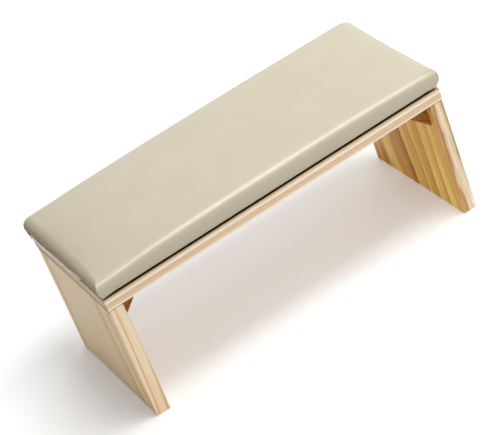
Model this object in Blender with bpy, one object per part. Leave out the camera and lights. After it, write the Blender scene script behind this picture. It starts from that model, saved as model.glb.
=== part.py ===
"""Padded kneeling bench: a pine seat board on two panel legs, with glued corner
blocks and a screwed-on upholstered cushion.

Metres, +Z up. The long side runs along X, the front faces -Y, and the origin is
on the floor under the middle of the bench.
"""

import math

import bmesh
import bpy
from mathutils import Vector

# Seat board.
SEAT_LENGTH = 0.460
SEAT_DEPTH = 0.190
SEAT_THICKNESS = 0.0155

# Panel legs, one under each end of the seat board.
LEG_THICKNESS = 0.018
LEG_HEIGHT = 0.157
LEG_END_INSET = 0.001

# Triangular blocks glued into the corners under the seat board.
BLOCK_SIDE = 0.030
LEFT_BLOCK_SET_BACK = 0.017
RIGHT_BLOCK_SET_BACK = 0.0095

# Wood finish.
ARRIS = 0.001
ARRIS_SEGMENTS = 2

# Space left between pieces that touch.
JOINT_GAP = 0.0003

# Black underlay between the seat board and the cushion.
UNDERLAY_THICKNESS = 0.0024
UNDERLAY_SET_BACK = 0.0015
UNDERLAY_CORNER_RADIUS = 0.006

# Cushion: set-back of its foot from the seat board's edges, edge height, and form.
CUSHION_SET_BACK = 0.0005
CUSHION_HEIGHT = 0.0235
CUSHION_CORNER_RADIUS = 0.009
CUSHION_LEAST_CORNER_RADIUS = 0.0025
CUSHION_LOWER_RADIUS = 0.003
CUSHION_UPPER_RADIUS = 0.007
SIDE_FLARE = 0.0045
CROWN_HEIGHT = 0.002
CROWN_FLAT_WIDTH = 0.036
CROWN_BOW = 0.0025
CONTOUR_SOFTENING = 0.6

# Cushion build-up.
COVER_THICKNESS = 0.001
HEM_WIDTH = 0.020
BASE_THICKNESS = 0.006

# Countersunk wood screws.
SCREW_SHANK_RADIUS = 0.002
SCREW_HEAD_RADIUS = 0.004
SCREW_HEAD_RIM = 0.0005
SCREW_POINT_LENGTH = 0.004
SCREW_HOLE_CLEARANCE = 0.0003

# Leg screws go down through the seat board into the top edge of each leg.
LEG_SCREW_LENGTH = 0.040
LEG_SCREW_EDGE = 0.030
LEG_SCREWS_PER_LEG = 3

# Cushion screws go up through the seat board into the cushion's base board.
CUSHION_SCREW_END = 0.075
CUSHION_SCREW_EDGE = 0.045
CUSHION_SCREW_TIP_COVER = 0.0015

# Mesh resolution.
CORNER_STEPS = 4
LONG_SIDE_STEPS = 10
SHORT_SIDE_STEPS = 5
ROUND_STEPS = 4
SIDE_STEPS = 4
CROWN_STEPS = 4
SCREW_STEPS = 20

# Sizes and heights that follow from the ones above.
CUSHION_LENGTH = SEAT_LENGTH - 2 * CUSHION_SET_BACK
CUSHION_DEPTH = SEAT_DEPTH - 2 * CUSHION_SET_BACK
SEAT_BOTTOM = LEG_HEIGHT + JOINT_GAP
SEAT_TOP = SEAT_BOTTOM + SEAT_THICKNESS
UNDERLAY_BOTTOM = SEAT_TOP + JOINT_GAP
SHOULDER_INSET = CUSHION_UPPER_RADIUS - SIDE_FLARE
CUSHION_BOTTOM = UNDERLAY_BOTTOM + UNDERLAY_THICKNESS + JOINT_GAP
BASE_OFFSET = COVER_THICKNESS + JOINT_GAP
BASE_TOP = BASE_OFFSET + BASE_THICKNESS
FOAM_BOTTOM = BASE_TOP + JOINT_GAP
LEG_CENTRE_X = SEAT_LENGTH / 2 - LEG_END_INSET - LEG_THICKNESS / 2
LEG_INNER_X = LEG_CENTRE_X - LEG_THICKNESS / 2


def clear_scene():
    for obj in list(bpy.data.objects):
        bpy.data.objects.remove(obj, do_unlink=True)


def make_material(name, colour, roughness, metallic=0.0):
    material = bpy.data.materials.new(name)
    material.use_nodes = True
    shader = material.node_tree.nodes["Principled BSDF"]
    shader.inputs["Base Color"].default_value = (*colour, 1.0)
    shader.inputs["Roughness"].default_value = roughness
    shader.inputs["Metallic"].default_value = metallic
    material.diffuse_color = (*colour, 1.0)
    return material


def add_object(name, bm, material, parent, location=(0.0, 0.0, 0.0)):
    """Turns a bmesh into a named object, with its faces pointing out."""
    bmesh.ops.recalc_face_normals(bm, faces=bm.faces)
    mesh = bpy.data.meshes.new(name)
    bm.to_mesh(mesh)
    bm.free()
    obj = bpy.data.objects.new(name, mesh)
    bpy.context.scene.collection.objects.link(obj)
    obj.location = location
    obj.parent = parent
    if material is not None:
        mesh.materials.append(material)
    return obj


def smooth(obj, angle=35.0):
    obj.data.shade_smooth()
    obj.data.set_sharp_from_angle(angle=math.radians(angle))


def ease_edges(obj, width=ARRIS):
    bevel = obj.modifiers.new("Arris", "BEVEL")
    bevel.width = width
    bevel.segments = ARRIS_SEGMENTS
    bevel.limit_method = "ANGLE"
    bevel.angle_limit = math.radians(30.0)


def cut(obj, cutter):
    hole = obj.modifiers.new("Hole " + cutter.name, "BOOLEAN")
    hole.operation = "DIFFERENCE"
    hole.solver = "EXACT"
    hole.object = cutter


def make_plank(name, length, depth, thickness, material, parent, location):
    """A plank with eased edges, centred on its location."""
    bm = bmesh.new()
    bmesh.ops.create_cube(bm, size=1.0)
    bmesh.ops.scale(bm, vec=(length, depth, thickness), verts=bm.verts)
    plank = add_object(name, bm, material, parent, location)
    ease_edges(plank)
    return plank


def make_corner_block(name, side, set_back, material, parent):
    """A triangular prism glued under the seat board and against one leg.

    side is -1 for the left end and 1 for the right end, and set_back is the space
    between each end of the block and the seat board's edge.
    """
    length = SEAT_DEPTH - 2 * set_back
    outline = [(0.0, 0.0), (-side * BLOCK_SIDE, 0.0), (0.0, -BLOCK_SIDE)]
    bm = bmesh.new()
    corners = [bm.verts.new((x, -length / 2, z)) for x, z in outline]
    face = bm.faces.new(corners)
    extruded = bmesh.ops.extrude_face_region(bm, geom=[face])
    moved = [item for item in extruded["geom"] if isinstance(item, bmesh.types.BMVert)]
    bmesh.ops.translate(bm, vec=(0.0, length, 0.0), verts=moved)
    location = (side * (LEG_INNER_X - JOINT_GAP), 0.0, SEAT_BOTTOM - JOINT_GAP)
    block = add_object(name, bm, material, parent, location)
    ease_edges(block, ARRIS / 2)
    return block


def outline_radius(inset, half_depth):
    """Corner radius of the cushion's outline at an inset from its foot.

    Round the side it stays parallel to the widest contour, and over the crown the
    contours grow rounder towards the middle.
    """
    parallel = max(CUSHION_CORNER_RADIUS - SIDE_FLARE - inset, CUSHION_LEAST_CORNER_RADIUS)
    over_crown = max(inset - SHOULDER_INSET, 0.0)
    return min(parallel + CONTOUR_SOFTENING * over_crown, 0.9 * half_depth)


def rounded_outline(half_length, half_depth, radius):
    """Points of a rounded rectangle, anticlockwise from the front right corner."""
    corners = [(1, -1, -90.0), (1, 1, 0.0), (-1, 1, 90.0), (-1, -1, 180.0)]
    steps = [SHORT_SIDE_STEPS, LONG_SIDE_STEPS, SHORT_SIDE_STEPS, LONG_SIDE_STEPS]
    arcs = []
    for sign_x, sign_y, start in corners:
        centre = Vector((sign_x * (half_length - radius), sign_y * (half_depth - radius)))
        arc = []
        for step in range(CORNER_STEPS + 1):
            angle = math.radians(start + 90.0 * step / CORNER_STEPS)
            arc.append(centre + radius * Vector((math.cos(angle), math.sin(angle))))
        arcs.append(arc)
    points = []
    for index, arc in enumerate(arcs):
        points.extend(arc)
        following = arcs[(index + 1) % len(arcs)][0]
        for step in range(1, steps[index]):
            points.append(arc[-1].lerp(following, step / steps[index]))
    return points


def cushion_ring(inset, height):
    """One contour of the cushion, bowed up along its length above the base board."""
    half_length = CUSHION_LENGTH / 2 - inset
    half_depth = CUSHION_DEPTH / 2 - inset
    radius = outline_radius(inset, half_depth)
    rise = max(height - FOAM_BOTTOM, 0.0) / (CUSHION_HEIGHT - FOAM_BOTTOM)
    ring = []
    for point in rounded_outline(half_length, half_depth, radius):
        bow = CROWN_BOW * (1.0 - (2.0 * point.x / CUSHION_LENGTH) ** 2)
        ring.append(Vector((point.x, point.y, height + max(bow, 0.0) * min(rise, 1.0))))
    return ring


def lower_round(offset):
    """(inset, height) points round the cushion's lower edge, at an offset inside it."""
    radius = CUSHION_LOWER_RADIUS - offset
    points = []
    for step in range(ROUND_STEPS + 1):
        angle = math.radians(90.0 * step / ROUND_STEPS)
        inset = CUSHION_LOWER_RADIUS - radius * math.sin(angle)
        height = CUSHION_LOWER_RADIUS - radius * math.cos(angle)
        points.append((inset, height))
    return points


def side_inset(height, offset):
    """Inset of the side, which flares out from its drawn-in foot to its upper edge."""
    low = CUSHION_LOWER_RADIUS
    high = CUSHION_HEIGHT - CUSHION_UPPER_RADIUS
    share = min(max((height - low) / (high - low), 0.0), 1.0)
    return offset - SIDE_FLARE * math.sin(0.5 * math.pi * share)


def side_wall(bottom, offset):
    """(inset, height) points up the flared side from a height, ends left out."""
    high = CUSHION_HEIGHT - CUSHION_UPPER_RADIUS
    points = []
    for step in range(1, SIDE_STEPS + 1):
        height = bottom + (high - bottom) * step / (SIDE_STEPS + 1)
        points.append((side_inset(height, offset), height))
    return points


def crown(offset):
    """(inset, height) points round the upper edge and in over the crown."""
    radius = CUSHION_UPPER_RADIUS - offset
    points = []
    for step in range(ROUND_STEPS + 1):
        angle = math.radians(90.0 * step / ROUND_STEPS)
        inset = SHOULDER_INSET - radius * math.cos(angle)
        height = CUSHION_HEIGHT - CUSHION_UPPER_RADIUS + radius * math.sin(angle)
        points.append((inset, height))
    reach = (CUSHION_DEPTH - CROWN_FLAT_WIDTH) / 2 - SHOULDER_INSET
    for step in range(1, CROWN_STEPS + 1):
        share = (step / CROWN_STEPS) ** 1.5
        rise = CROWN_HEIGHT * (1.0 - (1.0 - share) ** 2)
        points.append((SHOULDER_INSET + reach * share, CUSHION_HEIGHT - offset + rise))
    return points


def loft(sections):
    """A closed body through the contours of (inset, height) sections, capped at both ends."""
    bm = bmesh.new()
    rings = []
    for inset, height in sections:
        rings.append([bm.verts.new(point) for point in cushion_ring(inset, height)])
    for lower, upper in zip(rings, rings[1:]):
        for index, vert in enumerate(lower):
            following = (index + 1) % len(lower)
            bm.faces.new((vert, lower[following], upper[following], upper[index]))
    for ring in (rings[0], rings[-1]):
        rim = [edge for edge in bm.edges if edge.is_boundary and set(edge.verts) <= set(ring)]
        bmesh.ops.triangle_fill(bm, edges=rim, use_beauty=True)
    return bm


def make_cover(material, parent):
    """The cover wraps the pad and turns under the base board in an open hem."""
    outside = [(HEM_WIDTH, 0.0)] + lower_round(0.0)
    outside += side_wall(CUSHION_LOWER_RADIUS, 0.0) + crown(0.0)
    inside = [(HEM_WIDTH, COVER_THICKNESS)] + lower_round(COVER_THICKNESS)
    inside += side_wall(CUSHION_LOWER_RADIUS, COVER_THICKNESS) + crown(COVER_THICKNESS)
    bm = loft(inside[::-1] + outside)
    cover = add_object("cushion_cover", bm, material, parent, (0.0, 0.0, CUSHION_BOTTOM))
    smooth(cover, 60.0)
    return cover


def make_foam(material, parent):
    """The foam pad fills the cover above the base board."""
    offset = BASE_OFFSET
    sections = [(side_inset(FOAM_BOTTOM, offset), FOAM_BOTTOM)]
    sections += side_wall(FOAM_BOTTOM, offset) + crown(offset)
    foam = add_object("cushion_foam", loft(sections), material, parent, (0.0, 0.0, CUSHION_BOTTOM))
    smooth(foam, 60.0)
    return foam


def make_base_board(material, parent):
    """The thin board that the cover is stapled to, rounded along its lower edge."""
    offset = BASE_OFFSET
    sections = lower_round(offset) + [(offset, BASE_TOP)]
    return add_object(
        "cushion_base_board", loft(sections), material, parent, (0.0, 0.0, CUSHION_BOTTOM)
    )


def make_underlay(material, parent):
    """The flat black sheet that closes the cushion's underside."""
    bm = bmesh.new()
    half_length = CUSHION_LENGTH / 2 - UNDERLAY_SET_BACK
    half_depth = CUSHION_DEPTH / 2 - UNDERLAY_SET_BACK
    outline = rounded_outline(half_length, half_depth, UNDERLAY_CORNER_RADIUS)
    face = bm.faces.new([bm.verts.new((point.x, point.y, 0.0)) for point in outline])
    extruded = bmesh.ops.extrude_face_region(bm, geom=[face])
    moved = [item for item in extruded["geom"] if isinstance(item, bmesh.types.BMVert)]
    bmesh.ops.translate(bm, vec=(0.0, 0.0, UNDERLAY_THICKNESS), verts=moved)
    return add_object("cushion_underlay", bm, material, parent, (0.0, 0.0, UNDERLAY_BOTTOM))


def turned(profile):
    """A body turned about Z from (radius, height) points that start and end on the axis."""
    bm = bmesh.new()
    verts = [bm.verts.new((radius, 0.0, height)) for radius, height in profile]
    edges = [bm.edges.new(pair) for pair in zip(verts, verts[1:])]
    bmesh.ops.spin(
        bm,
        geom=verts + edges,
        cent=(0.0, 0.0, 0.0),
        axis=(0.0, 0.0, 1.0),
        angle=math.tau,
        steps=SCREW_STEPS,
        use_merge=True,
    )
    bmesh.ops.remove_doubles(bm, verts=bm.verts, dist=1e-6)
    return bm


def screw_profile(length, clearance=0.0):
    """(radius, height) points of a countersunk screw with its head's top at zero."""
    head = SCREW_HEAD_RADIUS + clearance
    shank = SCREW_SHANK_RADIUS + clearance
    neck = SCREW_HEAD_RIM + SCREW_HEAD_RADIUS - SCREW_SHANK_RADIUS + clearance
    tip = length + clearance
    return [
        (0.0, 0.0),
        (head, 0.0),
        (head, -SCREW_HEAD_RIM - clearance),
        (shank, -neck - clearance),
        (shank, SCREW_POINT_LENGTH - tip),
        (0.0, -tip),
    ]


def make_screw(name, length, material, parent, location, points_up=False):
    """A countersunk screw, and the hidden cutter of the hole that it sits in."""
    sunk = 1.0 if points_up else -1.0
    screw_location = Vector(location) + Vector((0.0, 0.0, sunk * JOINT_GAP))
    screw = add_object(name, turned(screw_profile(length)), material, parent, screw_location)
    profile = screw_profile(length, SCREW_HOLE_CLEARANCE)
    mouth = [(0.0, 2 * JOINT_GAP), (profile[1][0], 2 * JOINT_GAP)]
    cutter = add_object(name + "_hole", turned(mouth + profile[2:]), None, parent, screw_location)
    if points_up:
        screw.rotation_euler.x = math.pi
        cutter.rotation_euler.x = math.pi
    smooth(screw)
    cutter.hide_render = True
    cutter.display_type = "WIRE"
    return cutter


def make_leg_screws(side, leg, seat, material, parent):
    """A row of screws down into one leg."""
    span = SEAT_DEPTH - 2 * LEG_SCREW_EDGE
    label = "left" if side < 0 else "right"
    for index in range(LEG_SCREWS_PER_LEG):
        y = span * (index / (LEG_SCREWS_PER_LEG - 1) - 0.5)
        name = f"{label}_leg_screw_{index + 1}"
        location = (side * LEG_CENTRE_X, y, SEAT_TOP)
        cutter = make_screw(name, LEG_SCREW_LENGTH, material, parent, location)
        cut(seat, cutter)
        cut(leg, cutter)


def make_cushion_screws(pieces, material, parent):
    """Four screws up from under the seat board into the cushion's base board."""
    tip = CUSHION_BOTTOM + BASE_TOP - CUSHION_SCREW_TIP_COVER
    length = tip - SEAT_BOTTOM
    x = SEAT_LENGTH / 2 - CUSHION_SCREW_END
    y = SEAT_DEPTH / 2 - CUSHION_SCREW_EDGE
    corners = [(-x, -y), (x, -y), (x, y), (-x, y)]
    for index, (screw_x, screw_y) in enumerate(corners):
        name = f"cushion_screw_{index + 1}"
        location = (screw_x, screw_y, SEAT_BOTTOM)
        cutter = make_screw(name, length, material, parent, location, points_up=True)
        for piece in pieces:
            cut(piece, cutter)


def build_bench():
    pine = make_material("pine", (0.66, 0.46, 0.25), 0.55)
    dark_pine = make_material("corner_block_wood", (0.20, 0.09, 0.03), 0.65)
    plywood = make_material("plywood", (0.55, 0.40, 0.24), 0.70)
    foam = make_material("foam", (0.80, 0.76, 0.60), 0.95)
    vinyl = make_material("beige_vinyl", (0.62, 0.57, 0.47), 0.42)
    black_cloth = make_material("black_cloth", (0.010, 0.010, 0.010), 0.95)
    steel = make_material("steel", (0.55, 0.55, 0.56), 0.35, 1.0)

    bench = bpy.data.objects.new("bench", None)
    bpy.context.scene.collection.objects.link(bench)
    cushion = bpy.data.objects.new("cushion", None)
    bpy.context.scene.collection.objects.link(cushion)
    cushion.parent = bench

    seat = make_plank(
        "seat_board",
        SEAT_LENGTH,
        SEAT_DEPTH,
        SEAT_THICKNESS,
        pine,
        bench,
        (0.0, 0.0, SEAT_BOTTOM + SEAT_THICKNESS / 2),
    )
    ends = ((-1, "left", LEFT_BLOCK_SET_BACK), (1, "right", RIGHT_BLOCK_SET_BACK))
    for side, label, block_set_back in ends:
        leg = make_plank(
            label + "_leg",
            LEG_THICKNESS,
            SEAT_DEPTH,
            LEG_HEIGHT,
            pine,
            bench,
            (side * LEG_CENTRE_X, 0.0, LEG_HEIGHT / 2),
        )
        make_corner_block(label + "_corner_block", side, block_set_back, dark_pine, bench)
        make_leg_screws(side, leg, seat, steel, bench)

    underlay = make_underlay(black_cloth, cushion)
    base_board = make_base_board(plywood, cushion)
    make_foam(foam, cushion)
    make_cover(vinyl, cushion)
    make_cushion_screws((seat, underlay, base_board), steel, bench)


clear_scene()
build_bench()
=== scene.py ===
"""Looks of the padded kneeling bench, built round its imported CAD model.

Metres, +Z up, in the model's own frame: the front edge faces -Y and the left
end lies towards -X.
"""

import math
from collections import namedtuple

import bmesh
import bpy
import numpy as np
from mathutils import Matrix, Vector


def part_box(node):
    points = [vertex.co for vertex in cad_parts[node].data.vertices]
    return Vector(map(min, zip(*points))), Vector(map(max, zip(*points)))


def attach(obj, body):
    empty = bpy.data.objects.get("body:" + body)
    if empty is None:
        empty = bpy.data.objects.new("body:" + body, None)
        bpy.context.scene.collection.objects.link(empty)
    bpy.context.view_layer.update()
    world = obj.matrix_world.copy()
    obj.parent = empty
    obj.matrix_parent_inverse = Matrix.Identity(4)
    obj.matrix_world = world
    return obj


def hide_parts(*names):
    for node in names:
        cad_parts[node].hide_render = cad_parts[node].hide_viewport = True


# Camera of the photograph.
CAMERA_POSITION = (-0.66775, -1.96547, 1.48300)
CAMERA_RIGHT = (0.812749, -0.492688, -0.310964)
CAMERA_UP = (0.518963, 0.369632, 0.770746)
CAMERA_BACK = (-0.264795, -0.787802, 0.556105)
CAMERA_LENS_MM = 154.31
SENSOR_WIDTH_MM = 36.0

# Cushion form: its solid's measures, with a softer shoulder along the ends and the front.
# Corners are listed anticlockwise from the front right one.
CORNER_RADIUS = 0.009
LEAST_CORNER_RADIUS = 0.0025
CORNER_SHARES = (1.0, 1.0, 1.0, 0.14)
LOWER_RADIUS = 0.003
UPPER_RADIUS = 0.0085
SIDE_HEIGHT = 0.0235
SIDE_FLARE = 0.0045
SHOULDER_INSET = UPPER_RADIUS - SIDE_FLARE
END_SOFTNESS = 0.0042
END_SOFTNESS_START = 0.028
FRONT_SOFTNESS = 0.0036
LEAST_HALF_DEPTH = 0.001
LARGEST_RADIUS_SHARE = 0.97
LEFT_DROP = 0.0015
LEFT_DROP_REACH = 0.050
RIGHT_DROP = 0.0010
RIGHT_DROP_REACH = 0.012
CROWN_HEIGHT = 0.0022
CROWN_BOW = 0.0025
CONTOUR_SOFTENING = 0.6
CROWN_CROWDING = 1.35
COVER_THICKNESS = 0.0010
HEM_WIDTH = 0.020
HEM_EDGE_BULGE = 0.0003
BASE_CLEARANCE = 0.0003
FOAM_BOTTOM = 0.0076
FOAM_EDGE_EASE = 0.0006
FOAM_FLAT_SHARE = 0.55

# Stuffing simulation.
SIM_SHRINK = 0.0006
SIM_PRESSURE = 4.0
SIM_FRAMES = 20
SIM_CAP = 0.0011
SIM_SMOOTHING = 5
SIM_HELD_SIDE_ROWS = 3
TIGHT_CORNER_REACH = 0.040

# Mesh resolution: steps along the long sides, the short sides and the corners.
# Points crowd towards the ends of each straight run.
CUSHION_STEPS = (256, 108, 24)
SIM_STEPS = (92, 38, 6)
UNDERLAY_STEPS = (150, 60, 6)
RUN_CROWDING = 0.7
CUSHION_FINENESS = 4
SIM_FINENESS = 1

# Stations up the cushion's side and over its top, for each unit of fineness.
LOWER_STATIONS = 4
SIDE_STATIONS = 6
SHOULDER_STATIONS = 5
TOP_STATIONS = 12

# Shares of the way round that a corner and a short side take.
CORNER_TURN = 0.02
SHORT_TURN = 0.15

# Turned-under lower lip of the cover.
LIP_HEIGHT = 0.0012
LIP_WIDTH = 0.0009
LIP_SWELL = 0.00045
LIP_SWELL_WAVE = 0.4
LIP_WAVE = 0.00035
LIP_WAVE_RISE = 0.0025
LONG_SIDE_WAVE = 0.2
END_WAVE_REACH = 0.020

# Slack of the cover half way up its side.
SLACK_DEPTH = 0.00022
SLACK_HEIGHT = 0.011
SLACK_RISE = 0.008

# Waves round the outline, as (counts, seed).
LIP_SWELL_WAVES = ((37, 53, 71, 95), 2.0)
LIP_DROP_WAVES = ((61, 83, 121), 5.0)
SLACK_WAVES = ((9, 14, 23), 1.0)
HANG_WAVES = ((47, 73, 109), 3.0)

# The side takes up its dressing just above the cover's edge and loses it at the top.
DRESS_START = 0.0002
DRESS_RISE = 0.0008
DRESS_FADE = 0.004

# Loose edge of the cover that hangs below its left end, as (share from the back, weight).
HANG_SHARES = (-0.05, 0.05, 0.16, 0.30, 0.45, 0.56, 0.66, 0.74)
HANG_WEIGHTS = (0.60, 0.72, 1.00, 0.78, 0.64, 0.66, 0.42, 0.00)
HANG_DROP = 0.0078
HANG_STAND = 0.0019
HANG_THICKNESS = 0.0006
HANG_WAVE = 0.16
HANG_END_GAIN = 1.3

# Folded cloth that fills out the foot of each corner, and weighs the lip down.
CORNER_FILLS = {(1, -1): 0.0024, (1, 1): 0.0022, (-1, 1): 0.0020, (-1, -1): 0.0010}
CORNER_FILL_HEIGHT = 0.0070
CORNER_FILL_RISE = 0.0055
CORNER_FILL_REACH = 0.0075
CORNER_SAG = 0.0009
CORNER_SAG_REACH = 0.010
CORNER_SAG_RISE = 0.006
CORNER_BAND = 0.010

# A fold is a groove with a ridge beside it. Its ends are given as the place past a
# corner (minus along the long side, plus along the end) and the height.
Fold = namedtuple("Fold", "corner start end width depth")
FOLDS = (
    Fold((-1, -1), (0.0034, -0.004), (0.0018, 0.0200), 0.0009, 0.0019),
    Fold((-1, -1), (-0.0135, 0.0090), (-0.0290, 0.0030), 0.0014, 0.0013),
    Fold((1, -1), (0.0020, -0.004), (0.0034, 0.0190), 0.0009, 0.0018),
    Fold((-1, 1), (0.0030, -0.004), (0.0014, 0.0180), 0.0009, 0.0017),
    Fold((1, 1), (0.0034, -0.004), (0.0020, 0.0185), 0.0009, 0.0017),
    Fold((1, 1), (-0.0160, 0.0080), (-0.0270, 0.0040), 0.0014, 0.0011),
    Fold((1, -1), (0.0150, 0.0080), (0.0250, 0.0040), 0.0014, 0.0011),
)
RIDGE_SHARE = 0.45
RIDGE_PLACE = 1.9
RIDGE_WIDTH = 1.3

UNDERLAY_RADIUS = 0.006
UNDERLAY_EASE = 0.0006

# Room. A softbox is (name, position, size, power).
FLOOR_RADIUS = 14.0
FLOOR_SEGMENTS = 96
FLOOR_GLOW = 0.22
WORLD_STRENGTH = 0.24
AIM_POINT = (0.0, 0.0, 0.15)
SOFTBOXES = (
    ("key", (0.50, -0.36, 2.02), (1.10, 0.70), 28.5),
    ("overhead", (0.50, 0.85, 2.00), (1.6, 1.1), 9.0),
    ("front_top", (0.50, -1.15, 1.85), (1.2, 0.8), 6.5),
    ("back", (1.00, 2.05, 1.00), (2.4, 2.0), 18.0),
    ("front_fill", (-0.4, -2.5, 0.8), (2.4, 1.0), 12.5),
    ("right_fill", (2.2, -0.1, 1.0), (1.2, 0.8), 10.0),
)
WHITE = (1.0, 1.0, 1.0, 1.0)

# Faces that look nearly along a direction, as the cosine where a tint starts and is full.
FACING = (0.6, 0.9)

# Noise lies mostly between these values.
NOISE_RANGE = (0.3, 0.7)


# ---------------------------------------------------------------- shader helpers


def add_node(tree, kind, inputs=None, **settings):
    """A node with its settings, and its inputs given as values or as sockets to link."""
    made = tree.nodes.new(kind)
    for name, value in settings.items():
        setattr(made, name, value)
    for socket, value in (inputs or {}).items():
        if isinstance(value, bpy.types.NodeSocket):
            tree.links.new(value, made.inputs[socket])
        else:
            made.inputs[socket].default_value = value
    return made


def calc(tree, operation, *values):
    """The result of a Math node. MULTIPLY_ADD gives first * second + third."""
    return add_node(
        tree, "ShaderNodeMath", dict(enumerate(values)), operation=operation
    ).outputs[0]


def vector_calc(tree, operation, *values):
    """The result of a Vector Math node: a number or a vector, as the operation has it."""
    made = add_node(tree, "ShaderNodeVectorMath", dict(enumerate(values)), operation=operation)
    scalar = operation in ("LENGTH", "DOT_PRODUCT", "DISTANCE")
    return made.outputs["Value" if scalar else "Vector"]


def scaled(tree, vector, scale, location=(0.0, 0.0, 0.0)):
    """The vector, scaled and then moved."""
    made = add_node(
        tree, "ShaderNodeMapping", {"Vector": vector, "Scale": scale, "Location": location}
    )
    return made.outputs["Vector"]


def noise_value(tree, vector, scale=1.0, detail=2.0, roughness=0.5):
    """Smooth noise round 0.5. At scale 1 its spots are about one unit across."""
    made = add_node(
        tree,
        "ShaderNodeTexNoise",
        {"Vector": vector, "Scale": scale, "Detail": detail, "Roughness": roughness},
    )
    return made.outputs["Fac"]


def remap(tree, value, low, high, to_low=0.0, to_high=1.0):
    """Value carried from low..high to to_low..to_high, and held there beyond the ends."""
    made = add_node(
        tree,
        "ShaderNodeMapRange",
        {0: value, 1: low, 2: high, 3: to_low, 4: to_high},
        clamp=True,
    )
    return made.outputs["Result"]


def mix(tree, factor, first, second, blend_type="MIX"):
    """Two colours mixed by a factor. All three may be sockets or plain values."""
    made = add_node(tree, "ShaderNodeMix", data_type="RGBA", blend_type=blend_type)
    made.clamp_factor = True
    for socket, value in ((0, factor), (6, first), (7, second)):
        if isinstance(value, bpy.types.NodeSocket):
            tree.links.new(value, made.inputs[socket])
        elif socket == 0:
            made.inputs[socket].default_value = value
        else:
            made.inputs[socket].default_value = (*value, 1.0)
    return made.outputs[2]


def ramp(tree, value, stops):
    """A grey ramp through (position, level) stops."""
    made = add_node(tree, "ShaderNodeValToRGB", {"Fac": value})
    elements = made.color_ramp.elements
    while len(elements) < len(stops):
        elements.new(0.5)
    for element, (position, level) in zip(elements, stops):
        element.position = position
        element.color = (level, level, level, 1.0)
    return made.outputs["Color"]


def new_material(name):
    """A material, its tree, its shader, and the position in metres as a socket."""
    material = bpy.data.materials.new(name)
    material.use_nodes = True
    tree = material.node_tree
    shader = tree.nodes["Principled BSDF"]
    position = tree.nodes.new("ShaderNodeTexCoord").outputs["Object"]
    return material, tree, shader, position


def add_bump(tree, shader, height, distance, strength=1.0):
    """Fine relief on the shader's normal, with its distance in metres."""
    bump = add_node(
        tree,
        "ShaderNodeBump",
        {"Height": height, "Distance": distance, "Strength": strength},
    )
    tree.links.new(bump.outputs["Normal"], shader.inputs["Normal"])


def facing(tree, normal, direction):
    """Cosine between the surface's normal and a direction."""
    return vector_calc(tree, "DOT_PRODUCT", normal, direction)


# ---------------------------------------------------------------- materials

# Growth rings lie round a pith axis that runs along one of the axes. They are given
# as (radius, level) stops, from 0 in pale early wood to 1 in dark late wood. The tint on
# faces that look to the left is painted light and shade, end_tint goes on end grain, foot_tint
# low down.
WOOD_DEFAULTS = {
    "early": (0.860, 0.700, 0.495),
    "late": (0.660, 0.420, 0.170),
    "line": (0.560, 0.320, 0.100),
    "bow": (0.0, 0.0),
    "wander": 0.0010,
    "ripple": 0.8,
    "seed": 0.0,
    "fibre_depth": 0.10,
    "side_tint": (1.0, 1.0, 1.0),
    "foot_tint": (1.0, 1.0, 1.0),
    "end_tint": (0.78, 0.66, 0.50),
    "gloss": 0.47,
    "shine": 0.40,
}
WoodLook = namedtuple(
    "WoodLook", ("along", "pith", "rings", *WOOD_DEFAULTS), defaults=WOOD_DEFAULTS.values()
)

# How far the rings sway, in wanders, and how fast a bow grows away from its middle.
SWAY = 5.0
BOW_STEEPNESS = 12.5

# Early wood varies down to this share of its brightness.
EARLY_DIMMING = 0.93

# Late wood darker than this turns into a line.
LINE_LEVELS = (0.62, 1.0)
LINE_STRENGTH = 0.75

# A darker band along the joint of the seat board and the legs' side faces. The tint
# starts and is full at the two distances in its fade.
SEAM_HEIGHT = 0.1571
SEAM_RAGGEDNESS = 0.0010
SEAM_FADE = (0.0050, 0.0026)
SEAM_TINT = (0.36, 0.23, 0.10)

# Heights between which the legs take on their foot_tint, and how unevenly.
FOOT_FADE = (0.085, 0.0)
FOOT_UNEVENNESS = 0.08

# The clear finish: how its roughness spreads round the gloss, and its thin top coat.
GLOSS_SPREAD = (-0.06, 0.10)
COAT_SHARE = 0.25
COAT_ROUGHNESS = 0.30
WOOD_RELIEF = 0.00012


def grain_directions(along):
    """The direction of the grain, and ones in both directions across it."""
    axis = Vector((0.0, 0.0, 0.0))
    axis[along] = 1.0
    return axis, Vector((1.0, 1.0, 1.0)) - axis


def ring_share(tree, position, look, grain):
    """How far the wood at each point is late wood."""
    axis, across = grain_directions(look.along)
    flat = vector_calc(tree, "MULTIPLY", position, across)
    radius = vector_calc(tree, "LENGTH", vector_calc(tree, "SUBTRACT", flat, look.pith))
    middle, depth = look.bow
    place = vector_calc(tree, "DOT_PRODUCT", position, axis)
    off_middle = calc(tree, "MULTIPLY", calc(tree, "SUBTRACT", place, middle), BOW_STEEPNESS)
    squared = calc(tree, "POWER", calc(tree, "ABSOLUTE", off_middle), 2.0)
    bowed = calc(tree, "MULTIPLY_ADD", squared, -depth, radius)
    sway = calc(tree, "SUBTRACT", noise_value(tree, grain(3.0, 5.0), detail=1.0), 0.5)
    ripple = calc(tree, "SUBTRACT", noise_value(tree, grain(16.0, 70.0), detail=2.0), 0.5)
    bent = calc(tree, "MULTIPLY_ADD", sway, SWAY * look.wander, bowed)
    bent = calc(tree, "MULTIPLY_ADD", ripple, look.ripple * look.wander, bent)
    first = look.rings[0][0]
    last = look.rings[-1][0]
    stops = [((radius - first) / (last - first), level) for radius, level in look.rings]
    return ramp(tree, remap(tree, bent, first, last), stops)


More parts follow.
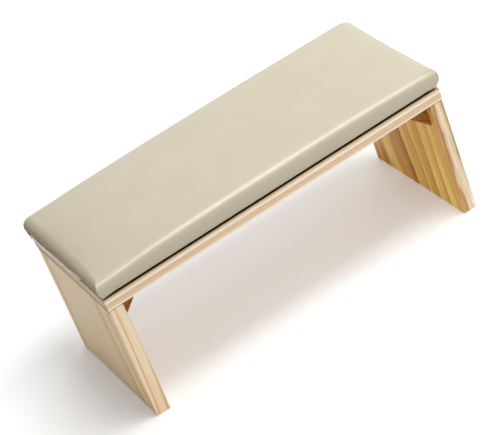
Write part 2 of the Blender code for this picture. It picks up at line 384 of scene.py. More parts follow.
def wood_shade(tree, grain, fibre, fibre_depth):
    """Grey fibres, streaks and short dark flecks that lie over the rings."""
    streak = noise_value(tree, grain(7.0, 260.0), detail=2.0)
    fleck = noise_value(tree, grain(170.0, 2300.0), detail=1.0)
    parts = (
        remap(tree, fibre, *NOISE_RANGE, 1.0 - fibre_depth, 1.0 + 0.4 * fibre_depth),
        remap(tree, streak, *NOISE_RANGE, 1.0 - 0.5 * fibre_depth, 1.0 + 0.3 * fibre_depth),
        remap(tree, fleck, 0.66, 0.76, 1.0, 0.84),
    )
    shade = calc(tree, "MULTIPLY", calc(tree, "MULTIPLY", parts[0], parts[1]), parts[2])
    return add_node(tree, "ShaderNodeCombineColor", {0: shade, 1: shade, 2: shade}).outputs[0]


def tinted(tree, factor, tone, tint):
    """The tone, multiplied by the tint as far as the factor says."""
    return mix(tree, factor, tone, mix(tree, 1.0, tone, tint, "MULTIPLY"))


def face_tints(tree, look, tone, position, broad):
    """The wood's tone, changed by where its faces look and how high they lie, with painted
    light on faces that look left.
    """
    axis, _ = grain_directions(look.along)
    normal = tree.nodes.new("ShaderNodeNewGeometry").outputs["Normal"]
    leftwards = facing(tree, normal, (-1.0, 0.0, 0.0))
    endways = calc(tree, "ABSOLUTE", leftwards)
    along_grain = calc(tree, "ABSOLUTE", facing(tree, normal, axis))
    # Painted light and shade on faces that look to the left.
    tone = tinted(tree, remap(tree, leftwards, *FACING), tone, look.side_tint)
    tone = tinted(tree, remap(tree, along_grain, *FACING), tone, look.end_tint)

    height = vector_calc(tree, "DOT_PRODUCT", position, (0.0, 0.0, 1.0))
    off_seam = calc(tree, "ABSOLUTE", calc(tree, "SUBTRACT", height, SEAM_HEIGHT))
    off_seam = calc(tree, "MULTIPLY_ADD", broad, SEAM_RAGGEDNESS, off_seam)
    seam = remap(tree, off_seam, *SEAM_FADE)
    seam = calc(tree, "MULTIPLY", seam, remap(tree, endways, *FACING))
    tone = tinted(tree, seam, tone, SEAM_TINT)
    # Foot_tint towards the bottom, with a ragged edge; on the right leg it is painted floor
    # light.
    uneven = calc(tree, "SUBTRACT", broad, 0.5)
    ragged_height = calc(tree, "MULTIPLY_ADD", uneven, FOOT_UNEVENNESS, height)
    return tinted(tree, remap(tree, ragged_height, *FOOT_FADE), tone, look.foot_tint)


def wood(name, look):
    """Solid clear-finished wood, its faces tinted by the way they look: end grain, and painted
    light on faces that look left.
    """
    material, tree, shader, position = new_material(name)
    axis, across = grain_directions(look.along)

    def grain(along_scale, across_scale):
        scale = across * across_scale + axis * along_scale
        return scaled(tree, position, scale, (look.seed, look.seed * 1.7, look.seed * 0.6))

    late_share = ring_share(tree, position, look, grain)
    broad = noise_value(tree, grain(4.0, 24.0), detail=2.0)
    fibre = noise_value(tree, grain(22.0, 1100.0), detail=3.0, roughness=0.6)
    dimmed = tuple(EARLY_DIMMING * channel for channel in look.early)
    tone = mix(tree, remap(tree, broad, 0.35, 0.65), look.early, dimmed)
    tone = mix(tree, late_share, tone, look.late)
    tone = mix(tree, remap(tree, late_share, *LINE_LEVELS, 0.0, LINE_STRENGTH), tone, look.line)
    tone = mix(tree, 1.0, tone, wood_shade(tree, grain, fibre, look.fibre_depth), "MULTIPLY")
    tone = face_tints(tree, look, tone, position, broad)
    tree.links.new(tone, shader.inputs["Base Color"])

    rough = remap(tree, fibre, *NOISE_RANGE, *(look.gloss + step for step in GLOSS_SPREAD))
    tree.links.new(rough, shader.inputs["Roughness"])
    shader.inputs["Specular IOR Level"].default_value = look.shine
    shader.inputs["Coat Weight"].default_value = COAT_SHARE * look.shine
    shader.inputs["Coat Roughness"].default_value = COAT_ROUGHNESS
    relief = calc(tree, "MULTIPLY_ADD", late_share, 0.5, fibre)
    add_bump(tree, shader, relief, WOOD_RELIEF, 0.6)
    return material


# Heights between which the cover's colour changes: painted shade on its ends,
# painted shade low on its sides, and painted light on the lip at the ends, which is paler.
END_SHADE_TOP = (0.198, 0.187)
END_SHADE_FOOT = (0.1770, 0.1795)
PAINTED_END_SHADE_TINT = (0.56, 0.41, 0.26)
END_SHADE_DULLING = 0.35
PAINTED_LOW_SHADE = (0.190, 0.178)
PAINTED_LOW_SHADE_TINT = (0.91, 0.90, 0.87)
PAINTED_LIP_LIGHT = (0.1782, 0.1764)
PAINTED_LIP_LIGHT_TONE = (0.690, 0.550, 0.430)


def faux_leather():
    """Smooth beige coated fabric with a fine, shallow pebble grain."""
    material, tree, shader, position = new_material("beige_faux_leather")
    warp = calc(tree, "SUBTRACT", noise_value(tree, position, 420.0), 0.5)
    push = calc(tree, "MULTIPLY", warp, 0.0012)
    pushed = add_node(tree, "ShaderNodeCombineXYZ", {0: push, 1: push, 2: push}).outputs[0]
    cells = add_node(
        tree,
        "ShaderNodeTexVoronoi",
        {"Vector": vector_calc(tree, "ADD", position, pushed), "Scale": 1150.0},
        feature="DISTANCE_TO_EDGE",
    ).outputs["Distance"]
    pebble = remap(tree, cells, 0.0, 0.22)
    cloudy = noise_value(tree, position, 26.0, detail=3.0)
    mottled = noise_value(tree, position, 210.0, detail=3.0, roughness=0.6)
    slack = noise_value(tree, scaled(tree, position, (34.0, 60.0, 60.0)), detail=2.0)

    cloud = remap(tree, cloudy, *NOISE_RANGE)
    tone = mix(tree, cloud, (0.462, 0.412, 0.304), (0.440, 0.390, 0.281))
    tone = mix(tree, remap(tree, mottled, 0.55, 0.8, 0.0, 0.35), tone, (0.484, 0.439, 0.332))
    tone = mix(tree, remap(tree, cells, 0.0, 0.10, 0.30, 0.0), tone, (0.36, 0.31, 0.21))
    normal = tree.nodes.new("ShaderNodeNewGeometry").outputs["Normal"]
    endways = calc(tree, "ABSOLUTE", facing(tree, normal, (1.0, 0.0, 0.0)))
    height = vector_calc(tree, "DOT_PRODUCT", position, (0.0, 0.0, 1.0))
    # Painted shade on the ends of the cover between two heights, which are also made rougher
    # there.
    painted_end_shade = remap(tree, endways, 0.3, 0.8)
    for heights in (END_SHADE_TOP, END_SHADE_FOOT):
        painted_end_shade = calc(tree, "MULTIPLY", painted_end_shade, remap(tree, height, *heights))
    tone = tinted(tree, painted_end_shade, tone, PAINTED_END_SHADE_TINT)
    # Painted shade low on the cover's sides.
    tone = tinted(tree, remap(tree, height, *PAINTED_LOW_SHADE), tone, PAINTED_LOW_SHADE_TINT)
    # Painted light on the lip at the ends: a paler, warmer tone.
    lip_light = calc(tree, "MULTIPLY", remap(tree, endways, 0.4, 0.8), remap(tree, height, *PAINTED_LIP_LIGHT))
    tone = mix(tree, lip_light, tone, PAINTED_LIP_LIGHT_TONE)
    tree.links.new(tone, shader.inputs["Base Color"])
    rough = remap(tree, mottled, *NOISE_RANGE, 0.33, 0.41)
    rough = calc(tree, "MULTIPLY_ADD", calc(tree, "SUBTRACT", 1.0, pebble), 0.04, rough)
    rough = calc(tree, "MULTIPLY_ADD", painted_end_shade, END_SHADE_DULLING, rough)
    tree.links.new(rough, shader.inputs["Roughness"])
    shader.inputs["Specular IOR Level"].default_value = 0.85
    relief = calc(tree, "MULTIPLY_ADD", pebble, 0.05, calc(tree, "MULTIPLY", slack, 0.9))
    relief = calc(tree, "MULTIPLY_ADD", mottled, 0.08, relief)
    add_bump(tree, shader, relief, 0.00035, 0.40)
    return material


def black_felt():
    """Dull black non-woven cloth with matted fibres."""
    material, tree, shader, position = new_material("black_felt")
    mat = noise_value(tree, position, 1500.0, detail=3.0, roughness=0.7)
    wisp = noise_value(tree, scaled(tree, position, (260.0, 900.0, 900.0)), detail=2.0)
    tone = mix(tree, remap(tree, mat, 0.35, 0.75), (0.003, 0.003, 0.003), (0.010, 0.009, 0.008))
    tone = mix(tree, remap(tree, wisp, 0.6, 0.8, 0.0, 0.5), tone, (0.018, 0.016, 0.015))
    tree.links.new(tone, shader.inputs["Base Color"])
    tree.links.new(remap(tree, mat, *NOISE_RANGE, 0.86, 0.98), shader.inputs["Roughness"])
    shader.inputs["Specular IOR Level"].default_value = 0.1
    add_bump(tree, shader, mat, 0.0003, 0.8)
    return material


def plywood():
    """Thin plywood: layered edges, and a streaky veneer on its faces."""
    material, tree, shader, position = new_material("base_plywood")
    veneer = noise_value(tree, scaled(tree, position, (9.0, 380.0, 380.0)), detail=3.0)
    layers = noise_value(tree, scaled(tree, position, (3.0, 3.0, 900.0)), detail=0.0)
    tone = mix(tree, remap(tree, veneer, *NOISE_RANGE), (0.60, 0.44, 0.27), (0.48, 0.33, 0.19))
    tone = mix(tree, remap(tree, layers, 0.45, 0.60, 0.0, 0.45), tone, (0.30, 0.18, 0.09))
    tree.links.new(tone, shader.inputs["Base Color"])
    tree.links.new(remap(tree, veneer, *NOISE_RANGE, 0.62, 0.78), shader.inputs["Roughness"])
    add_bump(tree, shader, veneer, 0.00015, 0.6)
    return material


def steel():
    """Zinc-plated screw steel with fine turning marks and dull patches."""
    material, tree, shader, position = new_material("zinc_plated_steel")
    patch = noise_value(tree, position, 700.0, detail=3.0)
    marks = noise_value(tree, scaled(tree, position, (300.0, 300.0, 5200.0)), detail=2.0)
    tone = mix(tree, remap(tree, patch, 0.35, 0.7), (0.62, 0.62, 0.60), (0.44, 0.43, 0.40))
    tree.links.new(tone, shader.inputs["Base Color"])
    tree.links.new(remap(tree, patch, *NOISE_RANGE, 0.24, 0.46), shader.inputs["Roughness"])
    shader.inputs["Metallic"].default_value = 1.0
    add_bump(tree, shader, marks, 0.00008, 0.5)
    return material


def seat_look():
    rings = (
        (0.3000, 0.10), (0.3040, 0.80), (0.3052, 0.00), (0.3100, 0.70), (0.3112, 0.00),
        (0.3160, 0.60), (0.3172, 0.00), (0.3215, 0.40), (0.3228, 0.00), (0.3255, 0.06),
        (0.3273, 0.78), (0.3285, 0.84), (0.3302, 0.74), (0.3318, 0.62), (0.3332, 0.00),
        (0.3352, 0.02), (0.3364, 0.70), (0.3376, 1.00), (0.3388, 0.60), (0.3420, 0.00),
    )
    return WoodLook(
        along=0,
        pith=(0.0, 0.020, -0.1447),
        rings=rings,
        early=(0.900, 0.790, 0.680),
        late=(0.510, 0.290, 0.105),
        # The golden line is a late-wood band at the top of the front edge, made paler as
        # painted light against the shade under the cushion's overhang.
        line=(1.000, 0.740, 0.370),
        wander=0.0006,
        seed=3.1,
        fibre_depth=0.07,
    )


def left_leg_look():
    rings = (
        (0.1950, 0.00), (0.2050, 0.00), (0.2098, 0.35), (0.2118, 1.00), (0.2128, 0.10),
        (0.2160, 0.00), (0.2200, 0.25), (0.2219, 1.00), (0.2228, 0.05), (0.2262, 0.15),
        (0.2290, 0.80), (0.2300, 0.00), (0.2360, 0.00),
    )
    return WoodLook(
        along=2,
        pith=(-0.029, 0.013, 0.0),
        rings=rings,
        late=(0.690, 0.440, 0.170),
        line=(0.560, 0.310, 0.080),
        bow=(0.120, 0.0013),
        wander=0.0009,
        seed=7.4,
        # Painted light on the outer face, which looks to the left: warmer and more saturated.
        side_tint=(1.0, 0.94, 0.79),
        foot_tint=(0.96, 0.91, 0.82),
    )


def right_leg_look():
    rings = (
        (0.0970, 0.90), (0.1012, 0.05), (0.1055, 0.10), (0.1075, 0.70),
        (0.1160, 0.66), (0.1240, 1.00), (0.1256, 0.05), (0.1310, 0.34), (0.1330, 0.60),
        (0.1344, 0.32), (0.1398, 0.68), (0.1404, 0.05), (0.1440, 0.03), (0.1456, 0.52),
        (0.1478, 0.38), (0.1510, 0.62), (0.1572, 0.70), (0.1580, 0.02), (0.1660, 0.08),
        (0.1700, 0.46), (0.1760, 0.68), (0.1768, 0.00), (0.1825, 0.00), (0.1870, 0.42),
        (0.1930, 0.30), (0.2008, 0.80), (0.2024, 0.05), (0.2030, 0.00), (0.2062, 0.02),
        (0.2076, 0.75), (0.2092, 0.60), (0.2110, 0.10),
    )
    return WoodLook(
        along=2,
        pith=(0.111, 0.080, 0.0),
        rings=rings,
        early=(0.820, 0.645, 0.450),
        late=(0.535, 0.230, 0.014),
        line=(0.270, 0.094, 0.006),
        bow=(0.120, 0.0012),
        wander=0.0030,
        seed=11.8,
        fibre_depth=0.34,
        # Painted light and shade on the inner face, which looks to the left from under the
        # seat: golden light bounced off the wood above.
        side_tint=(1.18, 1.02, 0.38),
        # Painted floor light towards the foot: paler and bluer low down.
        foot_tint=(1.12, 1.16, 1.22),
        shine=0.20,
        ripple=2.2,
    )


def block_look(side):
    """The darker wood of a corner block, on the side of the bench with that sign."""
    radii = np.linspace(0.008, 0.050, 10)
    rings = []
    for index, (inner, outer) in enumerate(zip(radii, radii[1:])):
        level = 0.9 if index % 2 else 0.65
        rings.append((inner, 0.0))
        rings.append((inner + 0.9 * (outer - inner), level))
    return WoodLook(
        along=1,
        pith=(side * 0.190, 0.0, 0.118),
        rings=tuple(rings),
        early=(0.440, 0.155, 0.024),
        late=(0.210, 0.062, 0.010),
        line=(0.130, 0.036, 0.007),
        wander=0.0010,
        seed=20.0 + side,
        fibre_depth=0.25,
        end_tint=(0.95, 0.90, 0.80),
        gloss=0.60,
        shine=0.10,
    )


def finish_nodes(nodes):
    """The finish of every CAD node that stays."""
    finishes = {
        "seat_board": wood("pine_seat_board", seat_look()),
        "left_leg": wood("pine_left_leg", left_leg_look()),
        "right_leg": wood("pine_right_leg", right_leg_look()),
        "left_corner_block": wood("brown_left_block", block_look(-1.0)),
        "right_corner_block": wood("brown_right_block", block_look(1.0)),
        "cushion_base_board": plywood(),
    }
    metal = steel()
    for name in nodes:
        if "_screw_" in name:
            finishes[name] = metal
    for name, material in finishes.items():
        nodes[name].data.materials.clear()
        nodes[name].data.materials.append(material)


# ---------------------------------------------------------------- cushion


def run_shares(count):
    """Shares along a straight run, crowded towards both of its ends."""
    even = np.arange(count) / count
    return even - RUN_CROWDING * np.sin(2.0 * np.pi * even) / (2.0 * np.pi)


def outline(half_length, half_depth, radius, steps):
    """Points of a rounded rectangle, anticlockwise from its front right corner.

    steps counts the steps of the long sides, the short sides and the corners. The
    second result is the outward direction at each point.
    """
    long_steps, short_steps, corner_steps = steps
    corners = [(1, -1, -90.0), (1, 1, 0.0), (-1, 1, 90.0), (-1, -1, 180.0)]
    runs = [short_steps, long_steps, short_steps, long_steps]
    arcs = []
    turns = []
    for (sign_x, sign_y, start), share in zip(corners, CORNER_SHARES):
        turn = np.radians(start + 90.0 * np.arange(corner_steps + 1) / corner_steps)
        tight = share * radius
        centre = np.array((sign_x * (half_length - tight), sign_y * (half_depth - tight)))
        turns.append(np.stack((np.cos(turn), np.sin(turn)), axis=1))
        arcs.append(centre + tight * turns[-1])
    points = []
    outward = []
    for index, arc in enumerate(arcs):
        points.extend(arc)
        outward.extend(turns[index])
        following = arcs[(index + 1) % len(arcs)][0]
        for share in run_shares(runs[index])[1:]:
            points.append(arc[-1] * (1.0 - share) + following * share)
            outward.append(turns[index][-1])
    return np.array(points), np.array(outward)


def outline_turns(steps):
    """Share of the way round at each outline point, alike for coarse and fine outlines."""
    long_steps, short_steps, corner_steps = steps
    long_turn = 0.5 - 2 * CORNER_TURN - SHORT_TURN
    marks = []
    start = 0.0
    for run_steps, run_turn in ((short_steps, SHORT_TURN), (long_steps, long_turn)) * 2:
        marks.extend(start + CORNER_TURN * np.arange(corner_steps) / corner_steps)
        start += CORNER_TURN
        marks.extend(start + run_turn * run_shares(run_steps))
        start += run_turn
    return np.array(marks)


class CushionForm:
    """Contours of the cushion from the foam's underside, round the hem, up to the crown."""

    def __init__(self, low, high):
        self.centre = np.array(((low.x + high.x) / 2.0, (low.y + high.y) / 2.0))
        self.bottom = low.z
        self.half_length = (high.x - low.x) / 2.0 - SIDE_FLARE
        self.half_depth = (high.y - low.y) / 2.0 - SIDE_FLARE

    def under_stations(self):
        """(inset, height) out under the foam, down beside the base board and round the hem."""
        inside = COVER_THICKNESS + BASE_CLEARANCE
        return [
            (self.half_depth * FOAM_FLAT_SHARE, FOAM_BOTTOM),
            (HEM_WIDTH, FOAM_BOTTOM),
            (inside + FOAM_EDGE_EASE, FOAM_BOTTOM),
            (inside, FOAM_BOTTOM - FOAM_EDGE_EASE),
            (inside, COVER_THICKNESS + 0.0020),
            (inside + 0.0016, COVER_THICKNESS + 0.0002),
            (HEM_WIDTH, COVER_THICKNESS),
            (HEM_WIDTH + HEM_EDGE_BULGE, COVER_THICKNESS / 2),
            (HEM_WIDTH, 0.0),
            (HEM_WIDTH / 2, 0.0),
        ]

    def stations(self, fineness):
        """(inset, height) of every ring: under the cushion, up its side and over its top."""
        points = self.under_stations()
        for share in np.linspace(0.0, 1.0, LOWER_STATIONS * fineness + 1):
            turn = 0.5 * math.pi * share
            points.append(
                (LOWER_RADIUS * (1.0 - math.sin(turn)), LOWER_RADIUS * (1.0 - math.cos(turn)))
            )
        shoulder = SIDE_HEIGHT - UPPER_RADIUS
        for share in np.linspace(0.0, 1.0, SIDE_STATIONS * fineness + 1)[1:-1]:
            height = LOWER_RADIUS + (shoulder - LOWER_RADIUS) * share
            points.append((-SIDE_FLARE * math.sin(0.5 * math.pi * share), height))
        for share in np.linspace(0.0, 1.0, SHOULDER_STATIONS * fineness + 1):
            turn = 0.5 * math.pi * share
            inset = SHOULDER_INSET - UPPER_RADIUS * math.cos(turn)
            points.append((inset, shoulder + UPPER_RADIUS * math.sin(turn)))
        reach = self.half_depth - SHOULDER_INSET
        for share in np.linspace(0.0, 1.0, TOP_STATIONS * fineness + 1)[1:-1]:
            points.append((SHOULDER_INSET + reach * share**CROWN_CROWDING, SIDE_HEIGHT))
        return points

    def ring(self, inset, height, steps, shrink):
        """The contour at a station, lifted by the crown and the bow."""
        radius = max(CORNER_RADIUS - SIDE_FLARE - inset, LEAST_CORNER_RADIUS)
        radius += CONTOUR_SOFTENING * max(inset - SHOULDER_INSET, 0.0)
        round_rise = max(height - SIDE_HEIGHT + UPPER_RADIUS, 0.0) / UPPER_RADIUS
        eased = 1.0 - math.sqrt(max(1.0 - round_rise**2, 0.0))
        half_length = self.half_length - inset - shrink
        half_depth = self.half_depth - inset - shrink - 0.5 * FRONT_SOFTNESS * eased
        half_depth = max(half_depth, LEAST_HALF_DEPTH)
        radius = min(radius, LARGEST_RADIUS_SHARE * half_depth)
        flat, _ = outline(half_length, half_depth, radius, steps)
        flat[:, 1] += 0.5 * FRONT_SOFTNESS * eased
        from_front = flat[:, 1] + self.half_depth - 0.5 * SHOULDER_INSET
        off_front = 1.0 - bell(from_front, END_SOFTNESS_START)
        flat[:, 0] *= 1.0 - END_SOFTNESS * eased * off_front / self.half_length
        x = np.clip(flat[:, 0] / self.half_length, -1.0, 1.0)
        y = np.clip(flat[:, 1] / self.half_depth, -1.0, 1.0)
        lift = CROWN_BOW * (1.0 - x**2) + CROWN_HEIGHT * (1.0 - x**4) * (1.0 - y**2)
        lift -= LEFT_DROP * bell(self.half_length + flat[:, 0], LEFT_DROP_REACH)
        lift -= RIGHT_DROP * bell(self.half_length - flat[:, 0], RIGHT_DROP_REACH)
        rise = min(max(height - FOAM_BOTTOM, 0.0) / (SIDE_HEIGHT - FOAM_BOTTOM), 1.0)
        z = self.bottom + height + lift * rise
        return np.column_stack((flat + self.centre, z))

    def grid(self, stations, steps, shrink=0.0):
        return np.array([self.ring(i, h, steps, shrink) for i, h in stations])


def fill_end(bm, row, steps):
    """Closes a ring of vertices with a ladder of quads between its front and back runs."""
    long_steps, short_steps, corner_steps = steps
    columns = len(row)
    start = corner_steps + short_steps // 2
    order = [row[(start + step) % columns] for step in range(columns)]
    half = columns // 2
    pairs = list(zip(order[1:half], order[:half:-1]))
    bm.faces.new((order[0], *pairs[0]))
    for (a, b), (c, d) in zip(pairs, pairs[1:]):
        bm.faces.new((a, c, d, b))
    bm.faces.new((pairs[-1][0], order[half], pairs[-1][1]))


def grid_mesh(name, grid, steps):
    """A closed mesh through the rings of a grid."""
    rows, columns = grid.shape[:2]
    faces = []
    for row in range(rows - 1):
        base = row * columns
        for column in range(columns):
            following = (column + 1) % columns
            above = base + columns
            faces.append((base + column, base + following, above + following, above + column))
    mesh = bpy.data.meshes.new(name)
    mesh.from_pydata([tuple(point) for point in grid.reshape(-1, 3)], [], faces)
    bm = bmesh.new()
    bm.from_mesh(mesh)
    bm.verts.ensure_lookup_table()
    for row in (0, rows - 1):
        fill_end(bm, [bm.verts[row * columns + column] for column in range(columns)], steps)
    bmesh.ops.recalc_face_normals(bm, faces=bm.faces)
    bm.to_mesh(mesh)
    bm.free()
    obj = bpy.data.objects.new(name, mesh)
    bpy.context.scene.collection.objects.link(obj)
    return obj


def coordinates(obj):
    """Where an object's vertices stand once its modifiers have run."""
    graph = bpy.context.evaluated_depsgraph_get()
    shown = obj.evaluated_get(graph)
    mesh = shown.to_mesh()
    values = np.empty(len(mesh.vertices) * 3)
    mesh.vertices.foreach_get("co", values)
    shown.to_mesh_clear()
    return values.reshape(-1, 3)


def stuffing_shift(form, steps):
    """How the stuffed cover moves when its foam presses out, as a grid of small vectors."""
    grid = form.grid(form.stations(SIM_FINENESS), steps, SIM_SHRINK)
    pad = grid_mesh("stuffing", grid, steps)
    held = pad.vertex_groups.new(name="held")
    fixed_rows = len(form.under_stations()) + SIM_HELD_SIDE_ROWS
    held.add(list(range(fixed_rows * grid.shape[1])), 1.0, "REPLACE")
    modifier = pad.modifiers.new("Stuffing", "CLOTH")
    settings = modifier.settings
    settings.quality = 6
    settings.mass = 0.3
    settings.tension_stiffness = 25.0
    settings.compression_stiffness = 25.0
    settings.shear_stiffness = 10.0
    settings.bending_stiffness = 2.0
    settings.use_pressure = True
    settings.uniform_pressure_force = SIM_PRESSURE
    settings.effector_weights.gravity = 0.0
    settings.vertex_group_mass = "held"
    modifier.collision_settings.use_collision = False
    modifier.point_cache.frame_end = SIM_FRAMES
    scene = bpy.context.scene
    for frame_number in range(1, SIM_FRAMES + 1):
        scene.frame_set(frame_number)
    moved = coordinates(pad).reshape(grid.shape)
    scene.frame_set(1)
    bpy.data.objects.remove(pad)
    shift = moved - grid
    size = np.linalg.norm(shift, axis=2, keepdims=True)
    print("stuffing moved at most", round(float(size.max()) * 1000.0, 2), "mm")
    shift = shift * np.minimum(1.0, SIM_CAP / np.maximum(size, 1e-9))
    return smoothed(shift * away_from_corners(form, grid)[:, :, None], SIM_SMOOTHING)


def station_marks(stations):
    """Distance travelled along the stations, as a share of the whole."""
    lengths = np.linalg.norm(np.diff(np.array(stations), axis=0), axis=1)
    marks = np.concatenate(([0.0], np.cumsum(lengths)))
    return marks / marks[-1]


def smoothed(shift, rounds):
    """A grid of vectors, evened out both ways."""
    for _ in range(rounds):
        shift = 0.5 * shift + 0.25 * (np.roll(shift, 1, axis=1) + np.roll(shift, -1, axis=1))
        middle = 0.5 * shift[1:-1] + 0.25 * (shift[2:] + shift[:-2])
        shift = np.concatenate((shift[:1], middle, shift[-1:]))
    return shift


def away_from_corners(form, grid):
    """Share of the stuffing's push that the tightly drawn corners let through."""
    flat = np.abs(grid[:, :, :2] - form.centre)
    off_x = form.half_length - flat[:, :, 0]
    off_y = form.half_depth - flat[:, :, 1]
    return 1.0 - bell(np.hypot(off_x, off_y), TIGHT_CORNER_REACH)


def upsample(shift, coarse_marks, fine_marks, coarse_turns, fine_turns):
    """The coarse grid of vectors, read at the fine grid's stations and outline points."""
    wide = np.concatenate((shift[:, -1:], shift, shift[:, :1]), axis=1)
    turns = np.concatenate(([coarse_turns[-1] - 1.0], coarse_turns, [1.0 + coarse_turns[0]]))
    across = np.empty((shift.shape[0], len(fine_turns), 3))
    full = np.empty((len(fine_marks), len(fine_turns), 3))
    for axis in range(3):
        for row in range(shift.shape[0]):
            across[row, :, axis] = np.interp(fine_turns, turns, wide[row, :, axis])
        for column in range(len(fine_turns)):
            full[:, column, axis] = np.interp(fine_marks, coarse_marks, across[:, column, axis])
    return full


def bell(distance, width):
    """1 at no distance, falling to nothing within about twice the width."""
    return np.exp(-((distance / width) ** 2))


def waves(turns, pattern):
    """A smooth closed wave round the outline, between about -1 and 1."""
    counts, seed = pattern
    angles = 2.0 * np.pi * turns
    total = sum(np.sin(count * angles + seed * (1.3 + count)) for count in counts)
    return total / math.sqrt(2.0 * len(counts))


def fold_push(fold, place, height):
    """Outward movement of the cover at a fold."""
    start = np.array(fold.start)
    run = np.array(fold.end) - start
    length = float(np.hypot(*run))
    from_x = place - start[0]
    from_z = height - start[1]
    along = (from_x * run[0] + from_z * run[1]) / length**2
    across = (from_x * run[1] - from_z * run[0]) / length
    taper = np.clip(5.0 * along, 0.0, 1.0) * np.clip(3.0 * (1.0 - along), 0.0, 1.0)
    groove = bell(across, fold.width)
    ridge = bell(across - RIDGE_PLACE * fold.width, RIDGE_WIDTH * fold.width)
    return fold.depth * taper * (RIDGE_SHARE * ridge - groove)


def ease_in(value, start, end):
    """A smooth step from 0 at the start to 1 at the end."""
    share = np.clip((value - start) / (end - start), 0.0, 1.0)
    return share * share * (3.0 - 2.0 * share)


def hanging_edge(form, flat, outward, height, turns):
    """Outward push and drop of the cover's loose edge below its left end."""
    share = (form.half_depth - flat[:, :, 1]) / (2.0 * form.half_depth)
    weight = np.interp(share, HANG_SHARES, HANG_WEIGHTS)
    weight = weight * np.clip(-HANG_END_GAIN * outward[None, :, 0], 0.0, 1.0)
    weight = weight * (1.0 + HANG_WAVE * waves(turns, HANG_WAVES))
    turn = height / LOWER_RADIUS
    stand = HANG_STAND * ease_in(turn, 0.05, 0.35) + HANG_THICKNESS * ease_in(turn, 0.4, 0.7)
    stand = stand * (1.0 - ease_in(turn, 1.0, 2.4))
    return weight * stand, -HANG_DROP * weight * bell(turn - 0.5, 0.30)


def dress(grid, form, stations, steps):
    """Adds the hem's lip, the filled-out corners and the folds to the cushion's side."""
    insets, heights = np.array(stations).T
    height = heights[:, None]
    turns = outline_turns(steps)[None, :]
    _, outward = outline(form.half_length, form.half_depth, CORNER_RADIUS, steps)
    lower = len(form.under_stations())
    skin = np.clip((heights - DRESS_START) / DRESS_RISE, 0.0, 1.0)
    skin *= np.clip((SIDE_HEIGHT - heights) / DRESS_FADE, 0.0, 1.0)
    skin[:lower] = 0.0
    skin = skin[:, None]

    flat = grid[:, :, :2] - form.centre
    to_end = form.half_length - np.abs(flat[:, :, 0])
    lively = LONG_SIDE_WAVE + (1.0 - LONG_SIDE_WAVE) * bell(to_end, END_WAVE_REACH)
    swell = 1.0 + LIP_SWELL_WAVE * lively * waves(turns, LIP_SWELL_WAVES)
    push = LIP_SWELL * swell * bell(height - LIP_HEIGHT, LIP_WIDTH)
    drop = LIP_WAVE * lively * waves(turns, LIP_DROP_WAVES)
    drop = drop * bell(height - LIP_HEIGHT, LIP_WAVE_RISE)
    slack = SLACK_DEPTH * waves(turns, SLACK_WAVES)
    push = push + slack * bell(height - SLACK_HEIGHT, SLACK_RISE)

    hang_push, hang_drop = hanging_edge(form, flat, outward, height, turns)
    push = push + hang_push
    drop = drop + hang_drop

    for corner in sorted({fold.corner for fold in FOLDS}):
        from_end = form.half_length - corner[0] * flat[:, :, 0]
        from_side = form.half_depth - corner[1] * flat[:, :, 1]
        place = from_side - from_end
        near = np.clip(2.0 - np.minimum(from_end, from_side) / CORNER_BAND, 0.0, 1.0)
        fill = bell(place, CORNER_FILL_REACH)
        fill = fill * bell(height - CORNER_FILL_HEIGHT, CORNER_FILL_RISE)
        push = push + near * CORNER_FILLS[corner] * fill
        sag = bell(place, CORNER_SAG_REACH) * bell(height, CORNER_SAG_RISE)
        drop = drop - near * CORNER_SAG * sag
        for fold in FOLDS:
            if fold.corner == corner:
                push = push + near * fold_push(fold, place, height)
    grid = grid.copy()
    grid[:, :, :2] += (skin * push)[:, :, None] * outward[None, :, :]
    grid[:, :, 2] += skin * drop
    return grid


def make_cushion():
    form = CushionForm(*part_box("cushion_cover"))
    stations = form.stations(CUSHION_FINENESS)
    grid = form.grid(stations, CUSHION_STEPS)
    grid += upsample(
        stuffing_shift(form, SIM_STEPS),
        station_marks(form.stations(SIM_FINENESS)),
        station_marks(stations),
        outline_turns(SIM_STEPS),
        outline_turns(CUSHION_STEPS),
    )
    dressed = dress(grid, form, stations, CUSHION_STEPS)
    cushion = grid_mesh("cushion", dressed, CUSHION_STEPS)
    cushion.data.materials.append(faux_leather())
    cushion.data.shade_smooth()
    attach(cushion, "root")
    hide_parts("cushion_cover", "cushion_foam")


def make_underlay():
    low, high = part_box("cushion_underlay")
    half_length = (high.x - low.x) / 2
    half_depth = (high.y - low.y) / 2
    thickness = high.z - low.z
    ease = UNDERLAY_EASE
    levels = ((ease, 0.0), (0.0, ease), (0.0, thickness - ease), (ease, thickness))
    rows = []
    for inset, height in levels:
        radius = UNDERLAY_RADIUS - inset
        ring, _ = outline(half_length - inset, half_depth - inset, radius, UNDERLAY_STEPS)
        rows.append(np.column_stack((ring, np.full(len(ring), low.z + height))))
    underlay = grid_mesh("underlay", np.array(rows), UNDERLAY_STEPS)
    underlay.data.materials.append(black_felt())
    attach(underlay, "root")
    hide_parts("cushion_underlay")


# ---------------------------------------------------------------- room


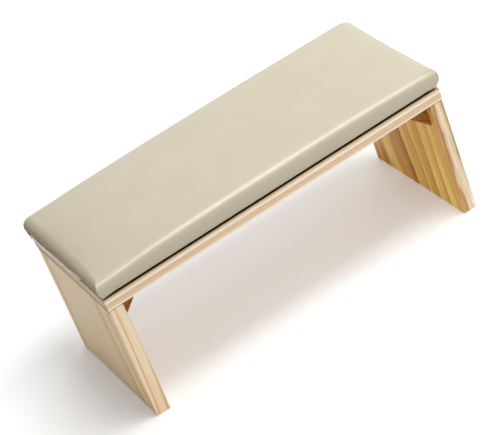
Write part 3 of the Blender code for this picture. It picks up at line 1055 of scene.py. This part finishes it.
def add_floor():
    """A plain pale floor that glows a little, so that it stays light under the bench."""
    bm = bmesh.new()
    bmesh.ops.create_circle(bm, cap_ends=True, segments=FLOOR_SEGMENTS, radius=FLOOR_RADIUS)
    mesh = bpy.data.meshes.new("floor")
    bm.to_mesh(mesh)
    bm.free()
    floor = bpy.data.objects.new("floor", mesh)
    bpy.context.scene.collection.objects.link(floor)
    material, tree, shader, position = new_material("pale_floor")
    cloud = noise_value(tree, position, 3.0, detail=2.0)
    tone = mix(tree, remap(tree, cloud, *NOISE_RANGE), (0.76, 0.76, 0.76), (0.78, 0.78, 0.78))
    tree.links.new(tone, shader.inputs["Base Color"])
    shader.inputs["Emission Color"].default_value = WHITE
    shader.inputs["Emission Strength"].default_value = FLOOR_GLOW
    shader.inputs["Roughness"].default_value = 0.9
    shader.inputs["Specular IOR Level"].default_value = 0.1
    mesh.materials.append(material)


def add_softbox(name, position, size, power):
    """A rectangular light that faces the bench, with its width along X."""
    light = bpy.data.lights.new(name, "AREA")
    light.shape = "RECTANGLE"
    light.size, light.size_y = size
    light.energy = power
    box = bpy.data.objects.new(name, light)
    bpy.context.scene.collection.objects.link(box)
    box.location = position
    back = (Vector(position) - Vector(AIM_POINT)).normalized()
    side = (Vector((1.0, 0.0, 0.0)) - back * back.x).normalized()
    turn = Matrix((side, back.cross(side), back)).transposed()
    box.rotation_mode = "QUATERNION"
    box.rotation_quaternion = turn.to_quaternion()
    box.visible_camera = False


def add_room():
    add_floor()
    world = bpy.data.worlds.new("studio")
    bpy.context.scene.world = world
    world.use_nodes = True
    background = world.node_tree.nodes["Background"]
    background.inputs["Color"].default_value = WHITE
    background.inputs["Strength"].default_value = WORLD_STRENGTH
    for softbox in SOFTBOXES:
        add_softbox(*softbox)


def add_camera():
    lens = bpy.data.cameras.new("camera")
    lens.lens = CAMERA_LENS_MM
    lens.sensor_width = SENSOR_WIDTH_MM
    lens.clip_end = 60.0
    camera = bpy.data.objects.new("camera", lens)
    bpy.context.scene.collection.objects.link(camera)
    turn = Matrix((CAMERA_RIGHT, CAMERA_UP, CAMERA_BACK)).transposed()
    camera.matrix_world = Matrix.Translation(CAMERA_POSITION) @ turn.to_4x4()
    bpy.context.scene.camera = camera


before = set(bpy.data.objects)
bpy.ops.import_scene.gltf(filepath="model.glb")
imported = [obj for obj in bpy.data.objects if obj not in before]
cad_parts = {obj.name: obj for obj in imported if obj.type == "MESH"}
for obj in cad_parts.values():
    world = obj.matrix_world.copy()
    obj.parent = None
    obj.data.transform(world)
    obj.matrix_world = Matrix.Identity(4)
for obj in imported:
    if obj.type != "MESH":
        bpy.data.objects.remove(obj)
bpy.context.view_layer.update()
bpy.context.scene.view_settings.view_transform = "Standard"
finish_nodes(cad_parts)
make_cushion()
make_underlay()
add_room()
add_camera()
